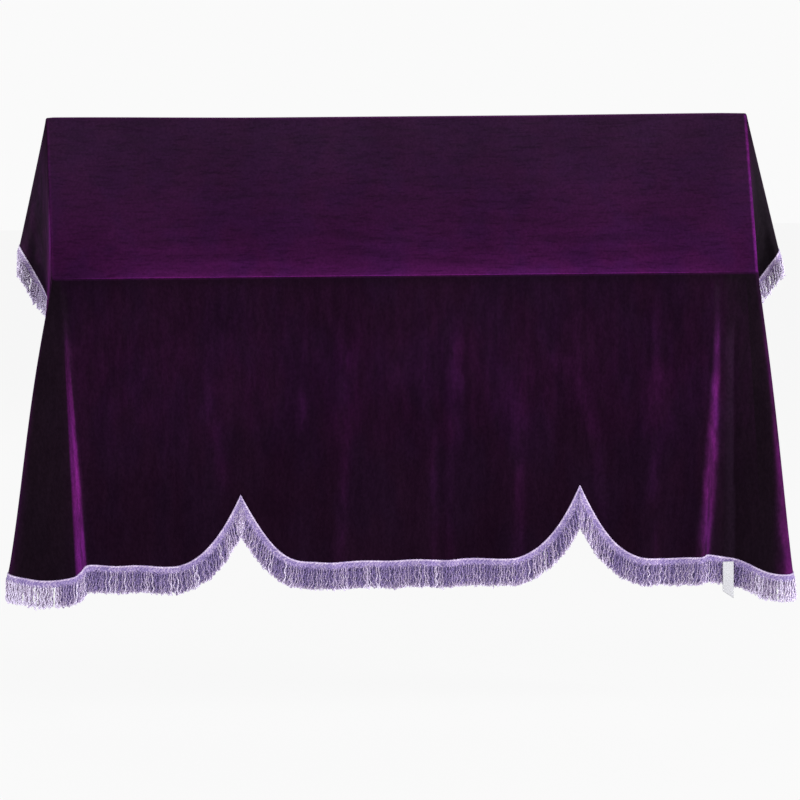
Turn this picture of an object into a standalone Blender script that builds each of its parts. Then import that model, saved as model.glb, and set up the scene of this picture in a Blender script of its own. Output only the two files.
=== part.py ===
"""Fringed velvet cover for an upright piano, modelled as it hangs over the instrument.

The cover is one cut of cloth. It lies flat on the lid and runs taut down to the front edge of
the key bed; from the edge of that roof it falls as a skirt all round. The cloth that is spare
at each corner swings out in cone-shaped folds. The front hem has two pointed notches, and a
fringe is sewn to the front hem and to both side hems.

Frame: metres, +Z up, the front faces -Y, origin in the middle of the top panel's underside.
"""

import math
from collections import namedtuple

import bmesh
import bpy
import numpy as np
from mathutils import Vector

# Driving dimensions, in metres: the piano under the cloth.
LID_HALF = 0.747         # half the width of the lid
KEY_HALF = 0.731         # half the width across the front edge of the key bed
LID_REACH = 0.170        # from the origin to the lid's front edge, and to its rear edge
KEY_FORWARD = 0.440      # from the origin to the key bed's front edge
KEY_DROP = 0.330         # from the lid down to the key bed's front edge

# The cloth.
CLOTH = 0.002            # thickness of velvet and hem
EDGE_ROLL = 0.004        # what the cloth needs to turn over an edge
CORNER_CUT = 0.007       # reach of the rounding at each corner of the roof
ROOF_INSET = 0.004       # flat band inside the roof's edge
FRONT_FALL = 0.590       # key bed's front edge to the middle of the front hem

# The two notches in the front hem: place across the front, height, and half width.
NOTCH_POWER = 2.1        # 1 is a straight-sided notch, more hollows its sides
Notch = namedtuple("Notch", "place height half_width")
NOTCHES = (
    Notch(-0.350, 0.142, 0.143),
    Notch(0.356, 0.152, 0.145),
)

# Soft upright folds in the front panel, which stand out more towards the hem.
FOLD_GROWTH = 1.5
Fold = namedtuple("Fold", "place half_width depth")
FRONT_FOLDS = (
    Fold(-0.440, 0.035, 0.007),
    Fold(-0.245, 0.030, 0.008),
    Fold(-0.165, 0.030, 0.009),
    Fold(0.030, 0.026, 0.009),
    Fold(0.085, 0.022, 0.007),
    Fold(0.200, 0.032, 0.010),
    Fold(0.345, 0.034, 0.013),
    Fold(0.490, 0.042, 0.014),
)

# The fringe.
SEAM_GAP = 0.0008        # parts the heading from the velvet's edge
HEADING = 0.016          # height of the braided heading
FRINGE_THICK = 0.003
LOCK_SHARE = 0.72        # a lock's share of its pitch, the rest is the space beside it
LOCK_UNEVEN = 0.003      # how much the locks' lengths differ
FRINGE_LEAN = 0.20       # how far a lock leans from plumb towards square to its hem
FRINGE_PART = 0.10       # share of a table row that parts the front fringe from a side fringe
TRACE_STEPS = 24         # points to a table row where the hem's length is measured

# drop is heading and locks together; span is the stretch of hem, each way, that sets the slant.
Trim = namedtuple("Trim", "name locks drop span")
LEFT_TRIM = Trim("fringe_left", 66, 0.051, 0.014)
FRONT_TRIM = Trim("fringe_front", 112, 0.058, 0.050)
RIGHT_TRIM = Trim("fringe_right", 66, 0.051, 0.014)

# The blank label.
LABEL_SIZE = (0.023, 0.001, 0.062)
LABEL_SLANT = 0.016      # how much lower its outer bottom corner hangs
LABEL_AT = (0.6685, -0.4545, -0.930)    # middle of its top edge

# The hem, from the front middle round to the rear middle, one row for each section or fold.
# left_place and right_place are where the cloth leaves the roof on either side: 0 front middle,
# 1 key bed's corner, 2 the lid's front corner, 3 its rear corner, 4 rear middle. steps is the
# number of mesh columns from the row before. left and right are where the hem hangs: out,
# forward and down from the origin.
RIDGE_FROM = 1.980       # places where the fold over the lid's front edge begins and ends
RIDGE_TO = 2.022
Row = namedtuple("Row", "section left_place right_place steps left right")
HEM = (
    Row("front middle", 0.000, 0.000, 0, (0.000, 0.452, 0.919), (0.000, 0.452, 0.919)),
    Row("notch, inner foot", 0.286, 0.286, 13, (0.207, 0.453, 0.921), (0.211, 0.453, 0.918)),
    Row("notch, point", 0.481, 0.481, 10, (0.350, 0.455, 0.920), (0.356, 0.456, 0.919)),
    Row("notch, outer foot", 0.678, 0.678, 10, (0.494, 0.454, 0.925), (0.502, 0.455, 0.922)),
    Row("panel", 0.810, 0.785, 5, (0.590, 0.452, 0.923), (0.570, 0.458, 0.922)),
    Row("streak, one side", 0.971, 0.878, 4, (0.667, 0.455, 0.921), (0.609, 0.477, 0.921)),
    Row("streak, other side", 0.976, 0.893, 3, (0.683, 0.484, 0.932), (0.629, 0.453, 0.917)),
    Row("corner fold begins", 0.981, 0.936, 2, (0.698, 0.502, 0.940), (0.683, 0.445, 0.927)),
    Row("flank", 0.989, 0.970, 3, (0.762, 0.494, 0.946), (0.744, 0.471, 0.952)),
    Row("flank, outer", 0.996, 0.990, 2, (0.808, 0.478, 0.941), (0.784, 0.487, 0.957)),
    Row("corner crest", 1.002, 1.002, 2, (0.833, 0.452, 0.934), (0.803, 0.470, 0.956)),
    Row("behind the crest", 1.008, 1.008, 2, (0.812, 0.412, 0.928), (0.800, 0.425, 0.950)),
    Row("hidden hollow", 1.014, 1.014, 2, (0.766, 0.382, 0.905), (0.764, 0.388, 0.925)),
    Row("cloth corner", 1.020, 1.020, 3, (0.776, 0.345, 0.848), (0.774, 0.345, 0.868)),
    Row("side crest", 1.030, 1.030, 3, (0.797, 0.325, 0.770), (0.790, 0.318, 0.785)),
    Row("side hollow", 1.050, 1.050, 3, (0.754, 0.280, 0.640), (0.752, 0.276, 0.645)),
    Row("slope flap, low", 1.110, 1.110, 3, (0.766, 0.212, 0.515), (0.766, 0.210, 0.515)),
    Row("slope flap", 1.330, 1.330, 3, (0.749, 0.160, 0.402), (0.758, 0.160, 0.400)),
    Row("slope flap, high", 1.560, 1.560, 3, (0.760, 0.132, 0.366), (0.776, 0.136, 0.366)),
    Row("wing face", 1.760, 1.760, 3, (0.781, 0.142, 0.324), (0.800, 0.155, 0.328)),
    Row("wing face, outer", 1.900, 1.900, 2, (0.801, 0.160, 0.287), (0.816, 0.172, 0.303)),
    Row("wing crest", RIDGE_FROM, RIDGE_FROM, 2, (0.812, 0.140, 0.267), (0.824, 0.150, 0.291)),
    Row("lid corner", 2.000, 2.000, 2, (0.803, 0.108, 0.266), (0.813, 0.112, 0.284)),
    Row("behind the wing", RIDGE_TO, RIDGE_TO, 2, (0.790, 0.078, 0.268), (0.795, 0.080, 0.278)),
    Row("top flap", 2.250, 2.250, 2, (0.765, 0.018, 0.271), (0.765, 0.018, 0.273)),
    Row("top flap, rear", 2.700, 2.700, 3, (0.763, -0.055, 0.268), (0.763, -0.055, 0.268)),
    Row("rear crest begins", 2.960, 2.960, 3, (0.790, -0.102, 0.266), (0.792, -0.100, 0.266)),
    Row("rear crest", 2.990, 2.990, 2, (0.808, -0.130, 0.275), (0.806, -0.128, 0.275)),
    Row("cloth's rear corner", 3.000, 3.000, 2, (0.775, -0.170, 0.318), (0.777, -0.168, 0.318)),
    Row("rear drop, corner", 3.012, 3.012, 3, (0.752, -0.222, 0.235), (0.750, -0.220, 0.235)),
    Row("rear drop, outer", 3.060, 3.060, 3, (0.698, -0.186, 0.186), (0.700, -0.186, 0.186)),
    Row("rear drop", 3.400, 3.400, 4, (0.450, -0.178, 0.180), (0.450, -0.178, 0.180)),
    Row("rear middle", 4.000, 4.000, 5, (0.000, -0.178, 0.180), (0.000, -0.178, 0.180)),
)

# Sections where the side fringe takes over from the front fringe, and where it ends.
FRINGE_TURN = "hidden hollow"
FRINGE_END = "rear crest"

# Rows of the mesh below the roof's edge.
ROLL_STEPS = (0.0, 0.5, 1.0)                # shares of the turn over the edge
FALL_STEPS = (0.16, 0.36, 0.57, 0.79, 1.0)  # shares of the straight fall after it

DOWN = Vector((0.0, 0.0, -1.0))


def make_material(name, color, roughness):
    """Cloth: a Principled BSDF with no metal in it."""
    material = bpy.data.materials.new(name)
    material.use_nodes = True
    shader = material.node_tree.nodes["Principled BSDF"]
    shader.inputs["Base Color"].default_value = (*color, 1.0)
    shader.inputs["Roughness"].default_value = roughness
    shader.inputs["Metallic"].default_value = 0.0
    material.diffuse_color = (*color, 1.0)
    return material


def add_object(name, faces, material, collection):
    """Turns a bmesh into a named object in the cover's collection."""
    mesh = bpy.data.meshes.new(name)
    faces.to_mesh(mesh)
    faces.free()
    mesh.materials.append(material)
    piece = bpy.data.objects.new(name, mesh)
    collection.objects.link(piece)
    return piece


def thicken(piece, thickness, offset):
    """Gives an open sheet its wall: offset -1 grows it inwards, 0 to both sides."""
    wall = piece.modifiers.new("thickness", "SOLIDIFY")
    wall.thickness = thickness
    wall.offset = offset


# ---- The roof's outline ----------------------------------------------------------------------

def roof_corners(side):
    """One half's outline: front middle, key bed, lid front, lid rear, rear middle."""
    return (
        Vector((0.0, -KEY_FORWARD, CLOTH - KEY_DROP)),
        Vector((side * KEY_HALF, -KEY_FORWARD, CLOTH - KEY_DROP)),
        Vector((side * LID_HALF, -LID_REACH, CLOTH)),
        Vector((side * LID_HALF, LID_REACH, CLOTH)),
        Vector((0.0, LID_REACH, CLOTH)),
    )


def leg_outward(leg, side):
    """Direction out of the roof, in its own plane and square to one leg of the outline."""
    corners = roof_corners(side)
    along = (corners[leg + 1] - corners[leg]).normalized()
    down_slope = (corners[1] - corners[2]).normalized()
    away = (down_slope, Vector((side, 0, 0)), Vector((side, 0, 0)), Vector((0, 1, 0)))[leg]
    return (away - along * away.dot(along)).normalized()


def outline(place, side):
    """Point on the roof's edge and the direction out of it; each corner is a quadratic arc."""
    corners = roof_corners(side)
    near = min(max(round(place), 1), 3)
    to_before = corners[near - 1] - corners[near]
    to_after = corners[near + 1] - corners[near]
    along = (place - near) * (to_after.length if place > near else to_before.length)
    if abs(along) < CORNER_CUT:
        t = 0.5 + along / (2 * CORNER_CUT)
        start = corners[near] + to_before.normalized() * CORNER_CUT
        end = corners[near] + to_after.normalized() * CORNER_CUT
        point = start * (1 - t) ** 2 + corners[near] * 2 * t * (1 - t) + end * t ** 2
        outward = leg_outward(near - 1, side).lerp(leg_outward(near, side), t)
        return point, outward.normalized()
    leg = min(int(place), 3)
    return corners[leg].lerp(corners[leg + 1], place - leg), leg_outward(leg, side)


# ---- The hem ---------------------------------------------------------------------------------

Stop = namedtuple("Stop", "section place point steps")


def ring_stops():
    """The table as a closed ring: rear middle, left side, front middle, right side.

    A place is negative on the left, and steps leads to the next stop.
    """
    def stop(row, side, steps):
        place = row.left_place if side < 0 else row.right_place
        out, forward, down = row.left if side < 0 else row.right
        return Stop(row.section, side * place, Vector((side * out, -forward, CLOTH - down)), steps)

    left = [stop(row, -1, row.steps) for row in reversed(HEM[1:])]
    right = [stop(row, 1, after.steps) for row, after in zip(HEM, HEM[1:])]
    return left + right


RING = ring_stops()


def find_stop(section, side):
    """Number of a section's stop on the ring, on the left (-1) or the right (1)."""
    return next(i for i, stop in enumerate(RING)
                if stop.section == section and stop.place * side > 0)


def signed_place(turn):
    """Place on the roof's edge at a ring position: whole numbers are stops."""
    here = RING[int(turn) % len(RING)].place
    after = RING[(int(turn) + 1) % len(RING)].place
    if after < here:
        after = -after
    return here + (after - here) * (turn % 1)


def plain_hem(turn):
    """Smooth curve through the stops, before the notches and the front folds."""
    number, share = int(turn), turn % 1
    before, start, end, after = (RING[(number + i) % len(RING)].point for i in (-1, 0, 1, 2))
    span = (end - start).length
    slope_in = (end - before) * (span / ((start - before).length + span))
    slope_out = (after - start) * (span / ((after - end).length + span))
    s2, s3 = share ** 2, share ** 3
    return (start * (2 * s3 - 3 * s2 + 1) + slope_in * (s3 - 2 * s2 + share)
            + end * (3 * s2 - 2 * s3) + slope_out * (s3 - s2))


def notch_rise(x):
    """How much higher the notches cut the front hem at x."""
    rise = 0.0
    for notch in NOTCHES:
        inside = max(0.0, 1 - abs(x - notch.place) / notch.half_width)
        rise += notch.height * inside ** NOTCH_POWER
    return rise


def fold_swell(point):
    """How far the front folds stand out at a point of the front panel."""
    fall = max(0.0, CLOTH - KEY_DROP - point.z) / FRONT_FALL
    swell = sum(fold.depth * math.exp(-((point.x - fold.place) / fold.half_width) ** 2)
                for fold in FRONT_FOLDS)
    return Vector((0.0, -swell * fall ** FOLD_GROWTH, 0.0))


def column(turn):
    """Points of the cloth from inside the roof's edge, over it, and down to the hem."""
    place = signed_place(turn)
    edge, outward = outline(abs(place), math.copysign(1, place))
    on_front = abs(place) < 1
    hem = plain_hem(turn)
    if on_front:
        hem.z += notch_rise(hem.x)
    shoulder = edge + outward * EDGE_ROLL
    fall = (hem - shoulder).normalized()
    points = [edge - outward * ROOF_INSET]
    for q in ROLL_STEPS:
        points.append(edge + (outward * (2 * q - q * q) + fall * q * q) * EDGE_ROLL)
    straight = points[-1]
    for share in FALL_STEPS:
        point = straight.lerp(hem, share)
        points.append(point + fold_swell(point) if on_front else point)
    return points


# ---- The pieces ------------------------------------------------------------------------------

def velvet_cover(material, collection):
    """The cloth: the roof's two flat panels and the skirt, one sheet thickened inwards."""
    turns = [i + step / stop.steps for i, stop in enumerate(RING) for step in range(stop.steps)]
    places = [signed_place(turn) for turn in turns]
    count = len(turns)
    faces = bmesh.new()
    grid = [[faces.verts.new(point) for point in column(turn)] for turn in turns]

    for i in range(count):
        here, after = grid[i], grid[(i + 1) % count]
        for row in range(len(here) - 1):
            faces.faces.new((here[row], here[row + 1], after[row + 1], after[row]))

    ring = [points[0] for points in grid]
    slope = [vert for vert, place in zip(ring, places) if abs(place) <= RIDGE_FROM]
    top = [vert for vert, place in zip(ring, places) if abs(place) >= RIDGE_TO]
    faces.faces.new(slope)
    faces.faces.new(top)

    # The fold over the lid's front edge: strips between like columns of the two sides.
    front = places.index(0.0)
    for i in range(places.index(RIDGE_FROM) - front, places.index(RIDGE_TO) - front):
        faces.faces.new((ring[front + i], ring[front + i + 1],
                         ring[front - i - 1], ring[front - i]))
    bmesh.ops.recalc_face_normals(faces, faces=faces.faces)
    piece = add_object("velvet_cover", faces, material, collection)
    piece.data.shade_smooth()
    thicken(piece, CLOTH, -1.0)
    return piece


def fringe(trim, first, last, material, collection):
    """One length of fringe along the hem between two ring positions.

    The braided heading continues the cloth, square to the hem. Its locks hang below, nearly
    plumb, each as long as its neighbours give or take a few millimetres.
    """
    turns = np.linspace(first, last, int((last - first) * TRACE_STEPS) + 1)
    trace = np.array([column(turn)[-1] for turn in turns])
    lengths = np.append(0.0, np.cumsum(np.linalg.norm(np.diff(trace, axis=0), axis=1)))
    pitch = lengths[-1] / (trim.locks - 1 + LOCK_SHARE)

    def hem_at(length):
        """Hem point and the last stretch of cloth above it."""
        points = column(float(np.interp(length, lengths, turns)))
        return points[-1], (points[-1] - points[-2]).normalized()

    def heading_at(length):
        """Seam point, heading's lower point, and the way a lock hangs there."""
        point, fall = hem_at(length)
        hem_line = (hem_at(length + trim.span)[0] - hem_at(length - trim.span)[0]).normalized()
        square = (fall - hem_line * fall.dot(hem_line)).normalized()
        plumb_square = (DOWN - hem_line * DOWN.dot(hem_line)).normalized()
        hang = DOWN.lerp(plumb_square, FRINGE_LEAN).normalized()
        return point + square * SEAM_GAP, point + square * HEADING, hang

    faces = bmesh.new()
    previous = None
    for number in range(trim.locks):
        uneven = LOCK_UNEVEN * math.sin(number * 2.4) * math.cos(number * 0.9)
        drop = trim.drop - HEADING + uneven
        sides = [heading_at((number + share) * pitch) for share in (0.0, LOCK_SHARE)]
        seam, heading = ([faces.verts.new(side[row]) for side in sides] for row in (0, 1))
        hang = (sides[0][2] + sides[1][2]).normalized()
        tips = [faces.verts.new(side[1] + hang * drop) for side in sides]
        faces.faces.new((seam[0], heading[0], heading[1], seam[1]))
        faces.faces.new((heading[0], tips[0], tips[1], heading[1]))
        if previous:
            faces.faces.new((previous[0], previous[1], heading[0], seam[0]))
        previous = seam[1], heading[1]
    piece = add_object(trim.name, faces, material, collection)
    thicken(piece, FRINGE_THICK, 0.0)
    return piece


def care_label(material, collection):
    """The blank label: a stiff ribbon over the heading, cut on a slant at its lower end."""
    width, thick, height = LABEL_SIZE
    faces = bmesh.new()
    bmesh.ops.create_cube(faces, size=1.0)
    for vert in faces.verts:
        slant = LABEL_SLANT if vert.co.x > 0 > vert.co.z else 0.0
        vert.co.x *= width
        vert.co.y *= thick
        vert.co.z = (vert.co.z - 0.5) * height - slant
    piece = add_object("care_label", faces, material, collection)
    piece.location = LABEL_AT
    return piece


def build_cover():
    """Clears the scene and makes every piece of the cover."""
    for thing in list(bpy.data.objects):
        bpy.data.objects.remove(thing, do_unlink=True)
    collection = bpy.data.collections.new("piano_cover")
    bpy.context.scene.collection.children.link(collection)

    velvet = make_material("purple_velvet", (0.045, 0.010, 0.050), 0.85)
    rayon = make_material("lavender_fringe", (0.48, 0.38, 0.74), 0.55)
    ribbon = make_material("white_ribbon", (0.85, 0.85, 0.88), 0.60)

    velvet_cover(velvet, collection)
    left_turn, right_turn = find_stop(FRINGE_TURN, -1), find_stop(FRINGE_TURN, 1)
    left_end, right_end = find_stop(FRINGE_END, -1), find_stop(FRINGE_END, 1)
    fringe(LEFT_TRIM, left_end, left_turn - FRINGE_PART, rayon, collection)
    fringe(FRONT_TRIM, left_turn, right_turn, rayon, collection)
    fringe(RIGHT_TRIM, right_turn + FRINGE_PART, right_end, rayon, collection)
    care_label(ribbon, collection)


build_cover()
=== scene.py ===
"""Fringed velvet cover for an upright piano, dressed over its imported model.

The cloth hangs as on the instrument, which is left out. Metres, +Z up, the front faces -Y, and
the origin is in the middle of the top panel's underside.
"""

import math
from collections import namedtuple

import bpy
import numpy as np
from mathutils import Matrix, Vector


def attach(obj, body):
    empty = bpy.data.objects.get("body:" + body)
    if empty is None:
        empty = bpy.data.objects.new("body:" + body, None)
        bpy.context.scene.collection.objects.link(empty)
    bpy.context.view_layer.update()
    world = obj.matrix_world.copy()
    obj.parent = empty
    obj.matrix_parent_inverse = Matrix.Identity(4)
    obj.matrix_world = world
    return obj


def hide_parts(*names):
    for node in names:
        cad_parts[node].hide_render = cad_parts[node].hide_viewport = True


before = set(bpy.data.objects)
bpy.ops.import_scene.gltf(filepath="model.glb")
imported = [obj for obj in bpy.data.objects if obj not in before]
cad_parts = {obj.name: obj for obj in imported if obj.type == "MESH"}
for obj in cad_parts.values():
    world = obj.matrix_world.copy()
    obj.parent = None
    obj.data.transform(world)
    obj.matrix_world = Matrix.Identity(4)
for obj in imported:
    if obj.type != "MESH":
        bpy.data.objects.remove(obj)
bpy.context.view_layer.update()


# ==== The velvet cover ========================================================================
# One cut of plush velvet, about 2.1 by 1.6 m, 2 mm thick with its pile. It lies on the lid, runs
# taut down to the key bed's front edge and falls from there and from both ends. The cloth that is
# spare at the corners swings out in cones, and the front hem is cut up into two points.

CLOTH = 0.002


def norm(vectors):
    """The length of each vector, as a column beside them."""
    return np.linalg.norm(vectors, axis=-1, keepdims=True)


def unit(vectors):
    """The same directions at length 1."""
    return vectors / norm(vectors)


# ---- The roof's edge, where the cloth turns down

LID_HALF = 0.747         # half the width of the lid
KEY_HALF = 0.731         # half the width across the front edge of the key bed
LID_REACH = 0.170        # from the origin to the lid's front edge, and to its rear edge
KEY_FORWARD = 0.440      # from the origin to the key bed's front edge
KEY_DROP = 0.330         # from the lid down to the key bed's front edge
CORNER_CUT = 0.007       # reach of the rounding at each corner of the roof

# A place on the roof's edge is a number: 0 front middle, 1 the key bed's corner, 2 the lid's front
# corner, 3 its rear corner, 4 rear middle. On the left it is negative.
CORNERS = np.array((
    (0.0, -KEY_FORWARD, CLOTH - KEY_DROP),
    (KEY_HALF, -KEY_FORWARD, CLOTH - KEY_DROP),
    (LID_HALF, -LID_REACH, CLOTH),
    (LID_HALF, LID_REACH, CLOTH),
    (0.0, LID_REACH, CLOTH),
))

# The length of each leg between two corners, its direction, and the direction square to it that
# leads out of the roof in its own plane.
LEGS = norm(np.diff(CORNERS, axis=0))[:, 0]
ALONG_LEGS = unit(np.diff(CORNERS, axis=0))
AWAY = np.array((CORNERS[1] - CORNERS[2], (1, 0, 0), (1, 0, 0), (0, 1, 0)))
OUT_OF_LEGS = unit(AWAY - ALONG_LEGS * (AWAY * ALONG_LEGS).sum(1, keepdims=True))


def roof_edge(place):
    """Points of the roof's edge, and the directions out of the roof there.

    Along a leg the point runs straight. Within CORNER_CUT of a corner it is a quadratic arc,
    and the direction out turns from one leg's to the next one's.
    """
    side, far = np.where(place < 0, -1.0, 1.0), np.abs(place)
    near = np.clip(np.rint(far), 1, 3).astype(int)
    along = (far - near) * np.where(far > near, LEGS[near], LEGS[near - 1])
    t = np.clip(0.5 + along / (2 * CORNER_CUT), 0, 1)[:, None]
    start = CORNERS[near] - ALONG_LEGS[near - 1] * CORNER_CUT
    end = CORNERS[near] + ALONG_LEGS[near] * CORNER_CUT
    point = start * (1 - t) ** 2 + CORNERS[near] * 2 * t * (1 - t) + end * t ** 2
    point += ALONG_LEGS[near - 1] * np.minimum(along + CORNER_CUT, 0)[:, None]
    point += ALONG_LEGS[near] * np.maximum(along - CORNER_CUT, 0)[:, None]
    outward = unit(OUT_OF_LEGS[near - 1] * (1 - t) + OUT_OF_LEGS[near] * t)
    mirror = np.stack((side, np.ones_like(side), np.ones_like(side)), axis=1)
    return point * mirror, outward * mirror


# ---- The hem

# One row for each section of the hem, from the front middle round to the rear middle. left_place
# and right_place are where the cloth leaves the roof's edge on either side, and left and right
# where the hem hangs: out, forward and down from the origin.
HemRow = namedtuple("HemRow", "section left_place right_place left right")
HEM = (
    HemRow("front middle", 0.000, 0.000, (0.000, 0.452, 0.919), (0.000, 0.452, 0.919)),
    HemRow("notch, inner foot", 0.286, 0.286, (0.207, 0.453, 0.921), (0.211, 0.453, 0.918)),
    HemRow("notch, point", 0.481, 0.481, (0.350, 0.455, 0.920), (0.356, 0.456, 0.919)),
    HemRow("notch, outer foot", 0.678, 0.678, (0.494, 0.454, 0.925), (0.502, 0.455, 0.922)),
    HemRow("panel", 0.810, 0.785, (0.590, 0.452, 0.923), (0.570, 0.458, 0.922)),
    HemRow("streak, one side", 0.971, 0.878, (0.667, 0.455, 0.921), (0.609, 0.477, 0.921)),
    HemRow("streak, other side", 0.976, 0.893, (0.683, 0.484, 0.932), (0.629, 0.453, 0.917)),
    HemRow("corner fold begins", 0.981, 0.936, (0.698, 0.502, 0.940), (0.683, 0.445, 0.927)),
    HemRow("flank", 0.989, 0.970, (0.762, 0.494, 0.946), (0.744, 0.471, 0.952)),
    HemRow("flank, outer", 0.996, 0.990, (0.808, 0.478, 0.941), (0.784, 0.487, 0.957)),
    HemRow("corner crest", 1.002, 1.002, (0.833, 0.452, 0.934), (0.803, 0.470, 0.956)),
    HemRow("behind the crest", 1.008, 1.008, (0.812, 0.412, 0.928), (0.800, 0.425, 0.950)),
    HemRow("hidden hollow", 1.014, 1.014, (0.766, 0.382, 0.905), (0.764, 0.388, 0.925)),
    HemRow("cloth corner", 1.020, 1.020, (0.776, 0.345, 0.848), (0.774, 0.345, 0.868)),
    HemRow("side crest", 1.030, 1.030, (0.797, 0.325, 0.770), (0.790, 0.318, 0.785)),
    HemRow("side hollow", 1.050, 1.050, (0.754, 0.280, 0.640), (0.752, 0.276, 0.645)),
    HemRow("slope flap, low", 1.110, 1.110, (0.766, 0.212, 0.515), (0.766, 0.210, 0.515)),
    HemRow("slope flap", 1.330, 1.330, (0.749, 0.160, 0.402), (0.758, 0.160, 0.400)),
    HemRow("slope flap, high", 1.560, 1.560, (0.760, 0.132, 0.366), (0.776, 0.136, 0.366)),
    HemRow("wing face", 1.760, 1.760, (0.781, 0.142, 0.324), (0.800, 0.155, 0.328)),
    HemRow("wing face, outer", 1.900, 1.900, (0.801, 0.160, 0.287), (0.816, 0.172, 0.303)),
    HemRow("wing crest", 1.980, 1.980, (0.812, 0.140, 0.267), (0.824, 0.150, 0.291)),
    HemRow("lid corner", 2.000, 2.000, (0.803, 0.108, 0.266), (0.813, 0.112, 0.284)),
    HemRow("behind the wing", 2.022, 2.022, (0.790, 0.078, 0.268), (0.795, 0.080, 0.278)),
    HemRow("top flap", 2.250, 2.250, (0.765, 0.018, 0.271), (0.765, 0.018, 0.273)),
    HemRow("top flap, rear", 2.700, 2.700, (0.763, -0.055, 0.268), (0.763, -0.055, 0.268)),
    HemRow("rear crest begins", 2.960, 2.960, (0.790, -0.102, 0.266), (0.792, -0.100, 0.266)),
    HemRow("rear crest", 2.990, 2.990, (0.808, -0.130, 0.275), (0.806, -0.128, 0.275)),
    HemRow("cloth's rear corner", 3.000, 3.000, (0.775, -0.170, 0.318), (0.777, -0.168, 0.318)),
    HemRow("rear drop, corner", 3.012, 3.012, (0.752, -0.222, 0.235), (0.750, -0.220, 0.235)),
    HemRow("rear drop, outer", 3.060, 3.060, (0.698, -0.186, 0.186), (0.700, -0.186, 0.186)),
    HemRow("rear drop", 3.400, 3.400, (0.450, -0.178, 0.180), (0.450, -0.178, 0.180)),
    HemRow("rear middle", 4.000, 4.000, (0.000, -0.178, 0.180), (0.000, -0.178, 0.180)),
)

# The rows as one ring: from the rear middle along the left side to the front, and back along the
# right side. A ring position is a row's number in it, plus a share of the way to the next row.
LEFT_ROWS, RIGHT_ROWS = HEM[:0:-1], HEM[:-1]
RING_SECTIONS = [row.section for row in LEFT_ROWS + RIGHT_ROWS]
RING_PLACES = np.array([-row.left_place for row in LEFT_ROWS] + [row.right_place for row in RIGHT_ROWS])
RING_HEM = np.array([row.left for row in LEFT_ROWS] + [row.right for row in RIGHT_ROWS])
RING_HEM = RING_HEM * (1, -1, -1) + (0, 0, CLOTH)
RING_HEM[:len(LEFT_ROWS), 0] *= -1
RING_COUNT = len(RING_PLACES)

# The two pointed notches in the front hem. The higher the power, the sharper the point.
NOTCH_POWER = 2.1
Notch = namedtuple("Notch", "place height half_width")
NOTCHES = (
    Notch(-0.350, 0.142, 0.143),
    Notch(0.356, 0.152, 0.145),
)

# The hem's own slight waves along the front: height, length, and where one is lowest. The height
# changes along the front by a share of itself, at a slower pace.
HEM_WAVE, HEM_WAVE_LENGTH, HEM_WAVE_LOW = 0.0016, 0.116, -0.040
WAVE_CHANGE, CHANGE_PACE = 0.3, 0.37


def signed_place(turn):
    """Place on the roof's edge at each ring position, negative on the left.

    Between two rows of the table the place runs evenly.
    """
    number = np.floor(turn).astype(int)
    here = RING_PLACES[number % RING_COUNT]
    after = RING_PLACES[(number + 1) % RING_COUNT]
    after = np.where(after < here, -after, after)
    return here + (after - here) * (turn - number)


def hem(turn):
    """Points of the hem: a cubic through the table's rows, cut up by the notches at the front.

    Its slope at a row is the chord of the two rows beside it, scaled to the span. A notch
    rises by its height times (1 - distance / half width) to the power NOTCH_POWER. A cosine
    along the front makes the slight waves.
    """
    number, share = np.floor(turn).astype(int), (turn % 1)[:, None]
    before, start, end, after = (RING_HEM[(number + i) % RING_COUNT] for i in (-1, 0, 1, 2))
    span = norm(end - start)
    slope_in = (end - before) * span / (norm(start - before) + span)
    slope_out = (after - start) * span / (norm(after - end) + span)
    s2, s3 = share ** 2, share ** 3
    points = start * (2 * s3 - 3 * s2 + 1) + slope_in * (s3 - 2 * s2 + share)
    points += end * (3 * s2 - 2 * s3) + slope_out * (s3 - s2)
    on_front = np.abs(signed_place(turn)) < 1
    for notch in NOTCHES:
        inside = np.clip(1 - np.abs(points[:, 0] - notch.place) / notch.half_width, 0, 1)
        points[:, 2] += notch.height * inside ** NOTCH_POWER * on_front
    waves = 2 * np.pi * (points[:, 0] - HEM_WAVE_LOW) / HEM_WAVE_LENGTH
    height = HEM_WAVE * (1 - WAVE_CHANGE + WAVE_CHANGE * np.sin(CHANGE_PACE * waves))
    points[:, 2] -= height * np.cos(waves) * on_front
    return points


# ---- The front panel's folds and creases

# The broad upright folds, which grow down the fall.
FRONT_FALL = 0.590
FOLD_GROWTH = 1.5
Fold = namedtuple("Fold", "place half_width depth")
FRONT_FOLDS = (
    Fold(-0.440, 0.035, 0.007),
    Fold(-0.245, 0.030, 0.008),
    Fold(-0.165, 0.030, 0.009),
    Fold(0.030, 0.026, 0.009),
    Fold(0.085, 0.022, 0.007),
    Fold(0.200, 0.032, 0.010),
    Fold(0.345, 0.034, 0.013),
    Fold(0.490, 0.042, 0.014),
)

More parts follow.
